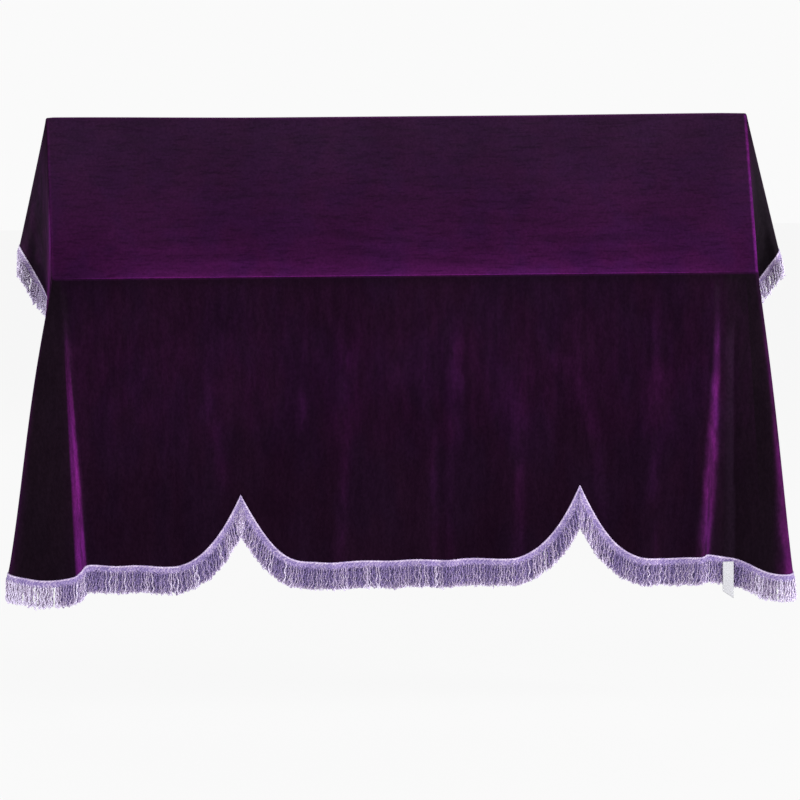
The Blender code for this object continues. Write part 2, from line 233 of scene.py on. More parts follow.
# The fine creases on them. Each runs from head, across the panel, at the height top to foot at the
# height bottom, in metres below the lid. Where bottom is past the hem it runs out at the hem.
CREASE_FADE = 0.28       # the share of its length over which a crease fades in, and out
CREST_ASIDE = 0.7        # how far its crest stands to the left of its line, in half widths
SHINE_SPREAD = 1.1       # half width of its painted sheen, in its own
Crease = namedtuple("Crease", "head foot top bottom half_width depth")
CREASES = (
    Crease(-0.417, -0.380, 0.520, 0.790, 0.012, 0.0022),
    Crease(-0.334, -0.330, 0.530, 0.670, 0.010, 0.0008),
    Crease(-0.220, -0.219, 0.510, 0.670, 0.010, 0.0022),
    Crease(-0.119, -0.133, 0.420, 0.690, 0.024, 0.0026),
    Crease(-0.126, -0.153, 0.600, 1.000, 0.012, 0.0022),
    Crease(0.022, 0.039, 0.470, 0.620, 0.012, 0.0008),
    Crease(0.108, 0.092, 0.400, 0.720, 0.016, 0.0028),
    Crease(0.052, 0.051, 0.610, 1.000, 0.008, 0.0018),
    Crease(0.084, 0.083, 0.680, 1.000, 0.010, 0.0014),
    Crease(0.177, 0.177, 0.490, 0.640, 0.012, 0.0010),
    Crease(0.220, 0.231, 0.480, 0.710, 0.022, 0.0024),
    Crease(0.230, 0.229, 0.650, 1.000, 0.011, 0.0025),
    Crease(0.298, 0.298, 0.460, 0.690, 0.011, 0.0017),
    Crease(0.344, 0.394, 0.490, 0.690, 0.016, 0.0027),
    Crease(0.388, 0.408, 0.650, 0.870, 0.010, 0.0014),
    Crease(0.518, 0.517, 0.350, 0.540, 0.008, 0.0017),
    Crease(0.521, 0.519, 0.490, 0.700, 0.023, 0.0027),
    Crease(0.520, 0.506, 0.660, 0.830, 0.012, 0.0020),
    Crease(0.516, 0.510, 0.820, 1.000, 0.007, 0.0013),
)

# The sharp valley where the right corner's fold leaves the panel. It begins at the height top and
# has its whole depth from the height full.
VALLEY_PLACE, VALLEY_TOP, VALLEY_FULL = 0.684, 0.400, 0.520
VALLEY_WIDTH, VALLEY_DEPTH = 0.007, 0.006


def bell(distance, half_width):
    """1 in the middle, e to the minus (distance / half width) squared beside it."""
    return np.exp(-(distance / half_width) ** 2)


def sheen_mark(distance, half_width):
    """1 across the middle with soft edges: e to the minus (distance / half width) to the 4th."""
    return np.exp(-(distance / half_width) ** 4)


def rise(value, start, end):
    """0 at start and 1 at end, with the cubic 3 t^2 - 2 t^3 between, and level past both."""
    t = np.clip((value - start) / (end - start), 0, 1)
    return t * t * (3 - 2 * t)


def front_relief(points):
    """How far the front panel stands forward at each point, and how much sheen is painted on its creases.

    A broad fold is a bell across the panel that grows down the fall. A fine crease is a bell
    whose crest stands to the left of its line, so that the line is the middle of its right
    flank, which faces the light from the right and is where the sheen is painted. The valley is a
    V: e to the minus distance.
    """
    x, drop = points[..., 0], CLOTH - points[..., 2]
    growth = np.clip((drop - KEY_DROP) / FRONT_FALL, 0, None) ** FOLD_GROWTH
    forward = growth * sum(fold.depth * bell(x - fold.place, fold.half_width) for fold in FRONT_FOLDS)
    shining = np.zeros_like(x)
    for crease in CREASES:
        share = (drop - crease.top) / (crease.bottom - crease.top)
        depth = crease.depth * rise(share, 0, CREASE_FADE) * rise(share, 1, 1 - CREASE_FADE)
        off = x - crease.head - (crease.foot - crease.head) * np.clip(share, 0, 1)
        forward += depth * bell(off + CREST_ASIDE * crease.half_width, crease.half_width)
        # Painted sheen along the crease's line.
        shining += depth * bell(off, SHINE_SPREAD * crease.half_width)
    valley = np.exp(-np.abs(x - VALLEY_PLACE) / VALLEY_WIDTH) * rise(drop, VALLEY_TOP, VALLEY_FULL)
    return forward - VALLEY_DEPTH * valley, shining


# ---- The draped surface

EDGE_ROLL = 0.004        # what the cloth needs to turn over an edge
ROOF_INSET = 0.004       # flat band inside the roof's edge

# How far the cloth stands off the lid at its left and right end, where it turns down. It begins
# and is full at two distances from the middle, and at two places up the slope.
END_LIFT = (0.0045, 0.0030)
LIFT_OUT, LIFT_UP = (0.20, 0.75), (1.2, 2.0)

# How far the right corner's bright fold bows out between the roof and the hem. Its power puts the
# middle of the bow above the middle of the fall.
BOW, BOW_PLACE, BOW_HALF_WIDTH, BOW_POWER = 0.007, 0.635, 0.035, 0.8

# How far the corner folds' crests bow out sideways, left and right, the share of the fall where
# they are straight again, and how near a place is to the crest.
CREST_BOW, CREST_STRAIGHT, CREST_REACH = (0.0073, 0.0050), (0.78, 0.90), 0.015


def by_side(side, pair):
    """The first of a pair where side is negative, on the left, and the second on the right."""
    return np.where(side < 0, *pair)


def end_lift(x, place):
    """How far the roof is lifted at x across it and a place on its edge: a rise in both."""
    return by_side(x, END_LIFT) * rise(np.abs(x), *LIFT_OUT) * rise(np.abs(place), *LIFT_UP)


def cloth(turn, level):
    """Points of the cloth for ring positions and levels, as an array (turns, levels, 3).

    Level -1 is on the roof, ROOF_INSET inside its edge, 0 at the edge, 1 where the cloth has
    turned over it, and 2 at the hem. The turn is a quarter roll: at level r it is 2r - r^2 out
    and r^2 down the fall, in EDGE_ROLLs. From there the fall is straight to the hem, plus the
    relief of the front panel and the bows of the corner folds. The bright fold bows by half a
    sine, a crest by half a sine times the root of what is left of the fall, and the roof's lift
    fades with the square of that.
    """
    place = signed_place(turn)
    edge, outward = roof_edge(place)
    place = place[:, None]
    hem_points = hem(turn)
    fall = unit(hem_points - edge - outward * EDGE_ROLL)
    inset = np.minimum(level, 0)[None, :, None]
    roll = np.clip(level, 0, 1)[None, :, None]
    share = np.clip(level - 1, 0, 1)[None]
    points = edge[:, None] + outward[:, None] * (inset * ROOF_INSET)
    points += (outward[:, None] * (2 * roll - roll ** 2) + fall[:, None] * roll ** 2) * EDGE_ROLL
    points += (hem_points[:, None] - points) * share[..., None]
    on_front = (np.abs(place) < 1) * (share > 0)
    bow = bell(points[..., 0] - BOW_PLACE, BOW_HALF_WIDTH) * np.sin(np.pi * share ** BOW_POWER)
    points[..., 0] += BOW * bow * on_front
    crest_bow = by_side(place, CREST_BOW) * np.sign(place) * bell(np.abs(place) - 1, CREST_REACH)
    arch = np.sin(np.pi * share / by_side(place, CREST_STRAIGHT)) * np.sqrt(1 - share)
    points[..., 0] += crest_bow * arch
    points[..., 2] += end_lift(points[..., 0], place) * (1 - share) ** 2
    points[..., 1] -= front_relief(points)[0] * on_front
    return points


# Mesh columns stand closer on the front and at the corner cones than on the hidden rear.
FRONT_PITCH, SIDE_PITCH, REAR_PITCH = 0.0048, 0.008, 0.040
ROOF_ROW_PITCH = 0.010
FALL_ROWS = 40
ROLL_LEVELS = np.array((-1.0, -0.5, 0.0, 0.25, 0.5, 0.75))
LEVELS = np.append(ROLL_LEVELS, 1 + np.linspace(0, 1, FALL_ROWS + 1))
SHARES = np.clip(LEVELS - 1, 0, 1)      # of the fall


def ring_turns():
    """Ring positions of the mesh columns: each table row is cut evenly, alike left and right."""
    columns = []
    for row, after in zip(HEM, HEM[1:]):
        leg = min(int(row.right_place), len(LEGS) - 1)
        pitch = (FRONT_PITCH, SIDE_PITCH, SIDE_PITCH, REAR_PITCH)[leg]
        spans = [math.dist(getattr(row, side), getattr(after, side)) for side in ("left", "right")]
        on_roof = (after.right_place - row.right_place) * LEGS[leg] * (leg in (1, 2))
        columns.append(max(1, math.ceil(max(spans) / pitch), math.ceil(on_roof / ROOF_ROW_PITCH)))
    counts = columns[::-1] + columns
    return np.concatenate([i + np.arange(count) / count for i, count in enumerate(counts)])


def grid_faces(numbers):
    """Quads between neighbouring rows and columns of vertex numbers, as an (n, 4) array."""
    quads = np.stack((numbers[:-1, :-1], numbers[:-1, 1:], numbers[1:, 1:], numbers[1:, :-1]), -1)
    return quads.reshape(-1, 4)


# How far the taut slope sinks between the lid and the key bed, and the share of its width over
# which that begins at either side. Its ripples rise and sink by RIPPLE. They begin over a share of
# the slope at its foot, and fade out from RIPPLE_TOP up to the lid.
ROOF_COLUMNS = 64
SAG, SAG_RISE, SAG_FALL, SAG_SIDE = 0.005, 0.08, 0.8, 0.15
RIPPLE, RIPPLE_FOOT, RIPPLE_TOP = 0.0002, 0.1, 0.5

# In radians: the ripples' pace up the whole slope, the height, pace and start of each wave by which
# they wander, and the paces across the roof and up the slope at which they come in patches.
RIPPLE_PACE, PATCH_ACROSS, PATCH_UP = 60, 7, 9
RIPPLE_WANDER = ((3, 5.1, 0), (2, 2.3, 1))


def ripples(x, up):
    """Ripples on the slope, between -1 and 1.

    A sine up the slope wanders with x, and a slower sine breaks it into patches.
    """
    wander = sum(height * np.sin(pace * x + start) for height, pace, start in RIPPLE_WANDER)
    return np.sin(RIPPLE_PACE * up + wander) * np.sin(PATCH_ACROSS * x + PATCH_UP * up)


def ruled_roof(skirt, places, numbers):
    """Points of the roof inside its edge, how far up the slope each lies, and the faces.

    A row runs straight from the left edge to the right one, from the front to the rear. Over
    that it is lifted at the lid's ends, and the slope sinks square to itself by SAG
    (1 - e^(-up / SAG_RISE)) (1 - up)^SAG_FALL. One plain face closes the front edge and one the
    rear edge.
    """
    middle = np.argmin(np.abs(places))
    steps = np.arange(len(places) // 2)
    beside = (places[middle + steps] > 1) & (places[middle - steps] < -1) & (places[middle + steps] < 3)
    right, left = middle + steps[beside], middle - steps[beside]
    across = np.linspace(0, 1, ROOF_COLUMNS + 1)[None, 1:-1]
    points = skirt[left, 0][:, None] * (1 - across[..., None])
    points += skirt[right, 0][:, None] * across[..., None]
    x, place = points[..., 0], places[right][:, None]
    up = np.clip(place - 1, 0, 1)
    left_lift = end_lift(skirt[left, 0, 0], places[left])[:, None]
    right_lift = end_lift(skirt[right, 0, 0], places[right])[:, None]
    points[..., 2] += end_lift(x, place) - left_lift * (1 - across) - right_lift * across
    sag = SAG * (1 - np.exp(-up / SAG_RISE)) * (1 - up) ** SAG_FALL
    sag = sag + RIPPLE * ripples(x, up) * rise(up, 0, RIPPLE_FOOT) * rise(up, 1, RIPPLE_TOP)
    sag *= rise(across, 0, SAG_SIDE) * rise(across, 1, 1 - SAG_SIDE)
    points += np.cross(ALONG_LEGS[1], (1, 0, 0)) * sag[..., None]

    inner = numbers[:, 0]
    grid = numbers.size + np.arange(x.size).reshape(x.shape)
    grid = np.hstack((inner[left, None], grid, inner[right, None]))
    front_edge = inner[left[0] + 1:right[0]]
    rear_edge = np.append(inner[right[-1] + 1:], inner[:left[-1]])
    faces = grid_faces(grid).tolist()
    faces.append([grid[0, 0], *front_edge, *grid[0, :0:-1]])
    faces.append([*grid[-1], *rear_edge])
    return points, np.broadcast_to(up, x.shape), faces


# ---- Painted sheen and shade on the velvet

# How much of the slant's sheen shows along the skirt, against the place on the roof's edge. Little
# or none shows on the corner folds' flanks and on the side flaps near the lid's front corner, where
# the ground is painted shade, and most of it shows on the rest of the flaps.
SHEEN_SHARE_SIDE = ((1.02, 0.0), (1.05, 0.1), (1.25, 0.7), (1.55, 0.0), (2.02, 0.0), (2.30, 0.7), (4.0, 1.0))
SHEEN_SHARE_LEFT = ((0.0, 1.0), (0.976, 1.0), (0.984, 0.3)) + SHEEN_SHARE_SIDE
SHEEN_SHARE_RIGHT = ((0.0, 1.0), (0.895, 1.0), (0.922, 0.25), (0.97, 0.15), (0.990, 0.3), (0.998, 0.9),
             (1.006, 0.9)) + SHEEN_SHARE_SIDE
SHEEN_SHARE_TURN = 0.5                    # the level from which the skirt has its own sheen share, past the edge

CREASE_SHINE = 17.0               # painted sheen for each metre of a crease's depth
# Sheen painted on the front panel against the share of the fall: most a third of the way down, none at the
# hem.
PANEL_SHINE = ((0.0, 0.015), (0.35, 0.036), (0.7, 0.008), (1.0, 0.0))
PANEL_END = 0.97                  # the place where the panel's painted sheen stops
HANGING = 0.25                    # the level from which the cloth takes its look from the fall

# On the roof: an even painted sheen on the slope; a painted highlight in a band over the key bed's
# edge, which fades in at the left and partly out at the right; painted highlights along the slope's
# left and right edges, with the level where they are brightest, their reach in levels and in
# places; and how much less of the slant's sheen shows at the slope's top and on the lid, where the
# painted lit grey ground shows instead.
SLOPE_SHINE, BAND_SHINE, BAND_REACH = 0.052, 0.06, 0.085
BAND_LEFT, BAND_RIGHT, BAND_DULLS = (-0.72, -0.47), (0.25, 0.65), 0.6
EDGE_SHINE, EDGE_LEVEL, EDGE_SPREAD, EDGE_FADE = (0.10, 0.60), 0.1, 0.9, 0.02
ROOF_DULLS = 0.90

# On the strip beside the valley, which is painted a lit grey: where it begins and is full across the
# panel and down the fall, and how strongly it is painted.
STRIP_SIDE, STRIP_TOP, STRIP_GREYING = (0.655, 0.677), (0.12, 0.24), 0.5

# On the side flap beside the lid's front corner: its painted sheen and painted grey sheen, left and
# right, the places where it begins and ends, and the share of the fall from which it is full.
WING_SHINE, WING_GREY_SHEEN = (0.14, 0.01), (0.33, 0.28)
WING_BEGINS, WING_ENDS, WING_TOP = (1.15, 1.60), (2.50, 2.05), 0.25

# The painted highlights down the corner folds: the ring position of each, and its strength and half
# width at shares of the fall. Beside them they also take away the slant's sheen.
LINE_TAKES_SHEEN, LINE_STARTS, LINE_SHEEN_LOSS_WIDTH = 0.95, 0.02, 1.2
PaintedSheenLine = namedtuple("PaintedSheenLine", "position strengths half_widths")
LEFT_STREAK = RING_SECTIONS.index("streak, other side") + 0.5
RIGHT_STREAK = RING_COUNT - 1 - RING_SECTIONS[::-1].index("streak, one side") + 0.5
RIGHT_CREST = RING_COUNT - 1 - RING_SECTIONS[::-1].index("corner crest")
PAINTED_SHEEN_LINES = (
    PaintedSheenLine(
        LEFT_STREAK,
        ((0.0, 0.0), (0.15, 0.04), (0.24, 0.16), (0.33, 0.32), (0.43, 0.54), (0.75, 0.74), (1.0, 0.74)),
        ((0.0, 0.007), (0.30, 0.006), (0.43, 0.0060), (0.55, 0.0080), (0.7, 0.0095), (1.0, 0.010)),
    ),
    PaintedSheenLine(
        RIGHT_STREAK,
        ((0.0, 0.0), (0.10, 0.05), (0.23, 0.16), (0.32, 0.42), (0.55, 0.44), (0.72, 0.46), (1.0, 0.22)),
        ((0.0, 0.004), (0.15, 0.006), (0.43, 0.0105), (0.60, 0.0145), (1.0, 0.0190)),
    ),
    PaintedSheenLine(
        RIGHT_CREST,
        ((0.0, 0.05), (0.3, 0.18), (0.6, 0.38), (1.0, 0.42)),
        ((0.0, 0.006), (0.4, 0.010), (0.7, 0.018), (1.0, 0.030)),
    ),
)


def read_off(table, value):
    """What a table of pairs gives at a value, evenly between one pair and the next."""
    return np.interp(value, *zip(*table))


def roof_sheen_and_shade(x, up):
    """How much of the slant's sheen shows, and how much sheen is painted, at places on the roof.

    x runs across the roof, and up is 0 at the key bed and 1 on the lid. Less of the slant's sheen
    shows up the slope. The painted sheen is even, plus a band at the key bed that fades up the
    slope as e to the minus (up / BAND_REACH).
    """
    band = np.exp(-up / BAND_REACH) * rise(x, *BAND_LEFT) * (1 - BAND_DULLS * rise(x, *BAND_RIGHT))
    with_sheen = np.broadcast_to(1 - ROOF_DULLS * rise(up, 0, 1), x.shape)
    return with_sheen, SLOPE_SHINE + BAND_SHINE * band


def skirt_sheen_and_shade(skirt, places):
    """What the velvet's material reads on the skirt: how much of the slant's sheen shows, the painted
    sheen, the painted grey sheen and hanging.

    The sheen share is the table's value, less what the painted highlight lines and the grey strip
    take from it, and the roof's own value inside the edge. The painted sheen is the sum of the
    creases', the panel's, the lines', the wing's, the roof's and its edges'.
    """
    x, place = skirt[..., 0], places[:, None]
    far = np.abs(place)
    on_front, on_fall, on_roof = far < 1, SHARES > 0, LEVELS <= 0
    sheen_share = by_side(place, (read_off(SHEEN_SHARE_LEFT, far), read_off(SHEEN_SHARE_RIGHT, far)))
    sheen_share = 1 + (sheen_share - 1) * rise(LEVELS, 0, SHEEN_SHARE_TURN)
    # Painted sheen on the creases and on the panel.
    painted_sheen = CREASE_SHINE * front_relief(skirt)[1] * (on_front & on_fall)
    painted_sheen += read_off(PANEL_SHINE, SHARES) * ((far < PANEL_END) & on_fall)
    for line in PAINTED_SHEEN_LINES:
        away = norm(skirt - cloth(np.array([line.position]), LEVELS))[..., 0]
        half_width, strength = read_off(line.half_widths, SHARES), read_off(line.strengths, SHARES)
        painted_sheen += strength * sheen_mark(away, half_width)
        without_sheen = rise(strength, 0, LINE_STARTS) * sheen_mark(away, LINE_SHEEN_LOSS_WIDTH * half_width)
        sheen_share *= 1 - LINE_TAKES_SHEEN * without_sheen
    # Painted sheen and painted grey sheen on the side flap beside the lid's front corner.
    on_wing = rise(far, *WING_BEGINS) * rise(far, *WING_ENDS) * rise(SHARES, 0, WING_TOP)
    painted_sheen += by_side(place, WING_SHINE) * on_wing
    grey_sheen = by_side(place, WING_GREY_SHEEN) * on_wing
    # The strip beside the valley is painted a lit grey: less sheen, and a ground nearer the roof's.
    on_strip = rise(x, *STRIP_SIDE) * (x < VALLEY_PLACE) * rise(SHARES, *STRIP_TOP) * on_front
    sheen_share *= 1 - STRIP_GREYING * on_strip
    hanging = np.clip(LEVELS / HANGING, 0, 1) * (1 - STRIP_GREYING * on_strip)
    roof_sheen_share, roof_shine = roof_sheen_and_shade(x, np.clip(far - 1, 0, 1))
    sheen_share += (roof_sheen_share - sheen_share) * on_roof
    painted_sheen += roof_shine * on_roof * (far > 1)
    on_slope = rise(far, 1, 1 + EDGE_FADE) * rise(far, 2, 2 - EDGE_FADE)
    across_edge = np.clip(1 - np.abs(LEVELS - EDGE_LEVEL) / EDGE_SPREAD, 0, 1)
    painted_sheen += by_side(place, EDGE_SHINE) * on_slope * across_edge
    return sheen_share, painted_sheen, grey_sheen, hanging


# The ground where the slant's sheen is taken away: a painted lit grey on the roof and painted shade
# on the fall. Then in two hues each the ground where the sheen shows and the sheen's own colour, and
# last the painted grey sheen.
LIT_GREY_GROUND, SHADED_GROUND = (0.0136, 0.0068, 0.0152, 1.0), (0.0070, 0.0039, 0.0068, 1.0)
GROUND_RED, GROUND_BLUE = (0.0085, 0.0027, 0.0081, 1.0), (0.0080, 0.0028, 0.0086, 1.0)
PILE_RED, PILE_BLUE = (0.143, 0.0120, 0.148, 1.0), (0.128, 0.0125, 0.154, 1.0)
GREY_SHEEN_COLOUR = (0.016, 0.016, 0.018, 1.0)


def new_material(name, looks):
    """A material, its node tree, and its shader with some inputs set."""
    material = bpy.data.materials.new(name)
    material.use_nodes = True
    shader = material.node_tree.nodes["Principled BSDF"]
    for socket, value in looks.items():
        shader.inputs[socket].default_value = value
    return material, material.node_tree, shader


def add_node(tree, kind, inputs, **settings):
    """The outputs of a new node. Each input is a value, or another node's output to link to."""
    node = tree.nodes.new("ShaderNode" + kind)
    for setting, value in settings.items():
        setattr(node, setting, value)
    for socket, value in inputs.items():
        if isinstance(value, bpy.types.NodeSocket):
            tree.links.new(value, node.inputs[socket])
        else:
            node.inputs[socket].default_value = value
    return node.outputs


def add_bump(tree, shader, height, strength, distance):
    """Gives a shader fine relief."""
    bump = add_node(tree, "Bump", {"Strength": strength, "Distance": distance, "Height": height})
    tree.links.new(bump["Normal"], shader.inputs["Normal"])


def velvet_material():
    """Deep purple plush: a nearly black ground, pile that shines at a slant, and painted sheen.

    Its attributes say how much of the slant's sheen shows, how much sheen is painted on top,
    whether the cloth hangs (1 on the fall and 0 on the roof), and how much painted grey sheen covers
    it. The shine is a ramp on the slant times the sheen share, plus the painted sheen, and it mixes
    the sheen's colour into the ground's. Where the sheen share is low, the ground is a painted lit
    grey on the roof and painted shade on the fall.
    """
    material, tree, shader = new_material("purple_plush_velvet", {
        "Roughness": 0.7,
        "Specular IOR Level": 0.0,
        "Sheen Weight": 0.06,
        "Sheen Roughness": 0.3,
        "Sheen Tint": (0.75, 0.25, 0.8, 1.0),
    })
    place = add_node(tree, "TexCoord", {})["Object"]

    def noise(scale, stretch, detail):
        stretched = add_node(tree, "Mapping", {"Vector": place, "Scale": stretch})["Vector"]
        return add_node(tree, "TexNoise", {"Vector": stretched, "Scale": scale, "Detail": detail})["Fac"]

    def ramp(value, low, high, at_low, at_high):
        ends = {"Value": value, "From Min": low, "From Max": high, "To Min": at_low, "To Max": at_high}
        return add_node(tree, "MapRange", ends, interpolation_type="SMOOTHSTEP")["Result"]

    def plus(first, second):
        return add_node(tree, "Math", {0: first, 1: second}, operation="ADD")[0]

    def times(first, second):
        return add_node(tree, "Math", {0: first, 1: second}, operation="MULTIPLY")[0]

    def mix_values(factor, first, second):
        return add_node(tree, "Mix", {"Factor": factor, "A": first, "B": second})["Result"]

    def blend(factor, first, second):
        return add_node(tree, "Mix", {"Factor": factor, 6: first, 7: second}, data_type="RGBA")[2]

    def attribute(name):
        return add_node(tree, "Attribute", {}, attribute_name=name)["Fac"]

    hanging, sheen_share, painted_sheen = attribute("hanging"), attribute("sheen_share"), attribute("painted_sheen")
    pile = noise(190.0, (1.0, 1.0, 0.7), 4.0)
    fall_mottle = ramp(noise(70.0, (1.0, 1.0, 0.22), 4.0), 0.36, 0.66, 0.0, 1.0)
    roof_mottle = ramp(noise(150.0, (0.20, 1.0, 1.0), 4.0), 0.30, 0.52, 0.0, 1.0)
    patches = ramp(noise(5.0, (1.0, 1.0, 0.8), 2.0), 0.30, 0.70, 0.90, 1.10)
    mottle = mix_values(hanging, roof_mottle, fall_mottle)

    slant = add_node(tree, "LayerWeight", {"Blend": 0.5})["Facing"]
    shine = times(ramp(slant, 0.12, 0.62, 0.0, 1.0), sheen_share)
    fall_broken = ramp(noise(45.0, (1.0, 1.0, 0.35), 4.0), 0.36, 0.62, 0.55, 1.15)
    roof_broken = ramp(noise(60.0, (0.25, 1.0, 1.0), 4.0), 0.34, 0.56, 0.70, 1.08)
    broken = mix_values(hanging, roof_broken, fall_broken)
    # Sheen painted on top of the slant's own, broken up by noise.
    shine = plus(shine, times(painted_sheen, broken))
    shine = times(shine, ramp(mottle, 0.0, 1.0, 0.88, 1.06))
    hue = ramp(noise(14.0, (1.0, 1.0, 0.5), 2.0), 0.40, 0.62, 0.0, 1.0)
    # Where little of the slant's sheen shows, the ground is painted: a lit grey on the roof, shade on the
    # fall.
    without_sheen = blend(hanging, LIT_GREY_GROUND, SHADED_GROUND)
    with_sheen = blend(hue, GROUND_RED, GROUND_BLUE)
    ground = blend(sheen_share, without_sheen, with_sheen)
    color = blend(shine, ground, blend(hue, PILE_RED, PILE_BLUE))
    # Painted grey sheen on the side flaps.
    color = blend(attribute("grey_sheen"), color, GREY_SHEEN_COLOUR)
    grain = times(ramp(pile, 0.30, 0.70, 0.86, 1.14), patches)
    grain = times(grain, ramp(mottle, 0.0, 1.0, 0.92, 1.05))
    lit = add_node(tree, "VectorMath", {0: color, "Scale": grain}, operation="SCALE")["Vector"]
    tree.links.new(lit, shader.inputs["Base Color"])
    add_bump(tree, shader, plus(pile, mottle), 0.4, 0.0010)
    return material


def put_attribute(piece, name, values):
    """Gives each of a piece's points a number that its material can read."""
    piece.data.attributes.new(name, "FLOAT", "POINT").data.foreach_set("value", values.ravel())


def add_piece(name, vertices, faces, material):
    """A smooth mesh object from points and faces, riding on the one body."""
    mesh = bpy.data.meshes.new(name)
    mesh.from_pydata(vertices.reshape(-1, 3), [], faces)
    mesh.polygons.foreach_set("use_smooth", np.ones(len(mesh.polygons), dtype=bool))
    mesh.materials.append(material)
    piece = bpy.data.objects.new(name, mesh)
    bpy.context.scene.collection.objects.link(piece)
    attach(piece, "root")
    return piece


def thicken(sheet, thickness, offset):
    """Gives a sheet its thickness: all of it inwards at offset -1, half to each side at 0."""
    wall = sheet.modifiers.new("thickness", "SOLIDIFY")
    wall.thickness = thickness
    wall.offset = offset


turns = ring_turns()
places = signed_place(turns)
skirt = cloth(turns, LEVELS)
numbers = np.arange(skirt[..., 0].size).reshape(skirt.shape[:2])
roof, up_slope, roof_faces = ruled_roof(skirt, places, numbers)
faces = grid_faces(np.vstack((numbers, numbers[:1])).T)[:, ::-1].tolist() + roof_faces
velvet_points = np.vstack((skirt.reshape(-1, 3), roof.reshape(-1, 3)))
velvet = add_piece("velvet_cover_cloth", velvet_points, faces, velvet_material())

# Painted sheen and shade, as attributes for the velvet's material.
sheen_share, painted_sheen, grey_sheen, hanging = skirt_sheen_and_shade(skirt, places)
roof_sheen_share, roof_shine = roof_sheen_and_shade(roof[..., 0], up_slope)
none = np.zeros(up_slope.size)
put_attribute(velvet, "hanging", np.append(hanging, none))
put_attribute(velvet, "grey_sheen", np.append(grey_sheen, none))
put_attribute(velvet, "sheen_share", np.append(sheen_share, roof_sheen_share))
put_attribute(velvet, "painted_sheen", np.append(painted_sheen, roof_shine))

# The hem keeps a sharp edge, because the cloth is cut there.
edge_ends = np.empty(2 * len(velvet.data.edges), dtype=int)
velvet.data.edges.foreach_get("vertices", edge_ends)
on_hem = (edge_ends < numbers.size) & (edge_ends % len(LEVELS) == len(LEVELS) - 1)
hem_edges = velvet.data.attributes.new("sharp_edge", "BOOLEAN", "EDGE")
hem_edges.data.foreach_set("value", on_hem.reshape(-1, 2).all(axis=1))
thicken(velvet, CLOTH, -1.0)
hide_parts("velvet_cover")


# ==== The fringes =============================================================================
# Lavender rayon fringe, 58 mm deep in front: a woven heading 15 mm high with a pale cord along
# its top, sewn to the hem, and twisted yarns that hang from it. One length runs along the front
# hem and its notches, and one up each side hem to the rear crest.

SEAM_LAP = 0.0005        # the heading's top edge is sewn over the hem
HEADING = 0.015          # its height below the hem
FRINGE_LEAN = 0.20       # how far a yarn leans from plumb towards square to the hem
FRINGE_PART = 0.10       # ring positions left free between the front fringe and a side fringe
TRACE_STEPS = 48         # points on the hem for one row of its table
NEAR_HEM = np.array((1.9, 2.0))         # the levels that give the way down the cloth

# first and last are ring positions, drop is the fringe's depth, span how far to either side of a
# point the way along the hem is measured, and paler how much paler the side fringes' heading and
# yarns are painted than in front, as light, and how many more of their inner yarns are left out.
Trim = namedtuple("Trim", "name first last drop span paler")
LEFT_END, RIGHT_END = (i for i, s in enumerate(RING_SECTIONS) if s == "rear crest")
LEFT_TURN, RIGHT_TURN = (i for i, s in enumerate(RING_SECTIONS) if s == "hidden hollow")
TRIMS = (
    Trim("fringe_left", LEFT_END, LEFT_TURN - FRINGE_PART, 0.051, 0.014, 0.16),
    Trim("fringe_front", LEFT_TURN, RIGHT_TURN, 0.058, 0.050, 0.0),
    Trim("fringe_right", RIGHT_TURN + FRINGE_PART, RIGHT_END, 0.051, 0.014, 0.16),
)
DOWN = np.array((0.0, 0.0, -1.0))


def hem_length(trim):
    """Ring positions along a fringe, and the hem's length from its start to each."""
    trace = np.linspace(trim.first, trim.last, int((trim.last - trim.first) * TRACE_STEPS) + 1)
    return trace, np.append(0.0, np.cumsum(norm(np.diff(hem(trace), axis=0))))


def sewn_at(trim, lengths, trace, measured):
    """Where a fringe hangs at each length: seam point, way across the heading, way down, way
    along the hem and way out of the cloth.

    The heading lies square to the hem in the cloth's plane. Below it a yarn hangs plumb, less
    a share FRINGE_LEAN of the way to square.
    """
    def cloth_end(at):
        return cloth(np.interp(at, measured, trace), NEAR_HEM)

    ends = cloth_end(lengths)
    fall = unit(ends[:, 1] - ends[:, 0])
    along = unit(cloth_end(lengths + trim.span)[:, 1] - cloth_end(lengths - trim.span)[:, 1])
    square = unit(fall - along * (fall * along).sum(1, keepdims=True))
    plumb_square = unit(DOWN - along * (along @ DOWN)[:, None])
    hang = unit(DOWN * (1 - FRINGE_LEAN) + plumb_square * FRINGE_LEAN)
    return ends[:, 1], square, hang, along, np.cross(square, along)


# The yarns' colours against the tone: the deep violet at the low end is painted shade in the gaps,
# the pale high end is painted light, and the lavender between is the yarn's own.
YARN_COLOURS = (
    (0.00, (0.045, 0.030, 0.120, 1.0)),
    (0.42, (0.215, 0.150, 0.375, 1.0)),
    (0.75, (0.455, 0.362, 0.530, 1.0)),
    (1.00, (0.800, 0.720, 0.930, 1.0)),
)


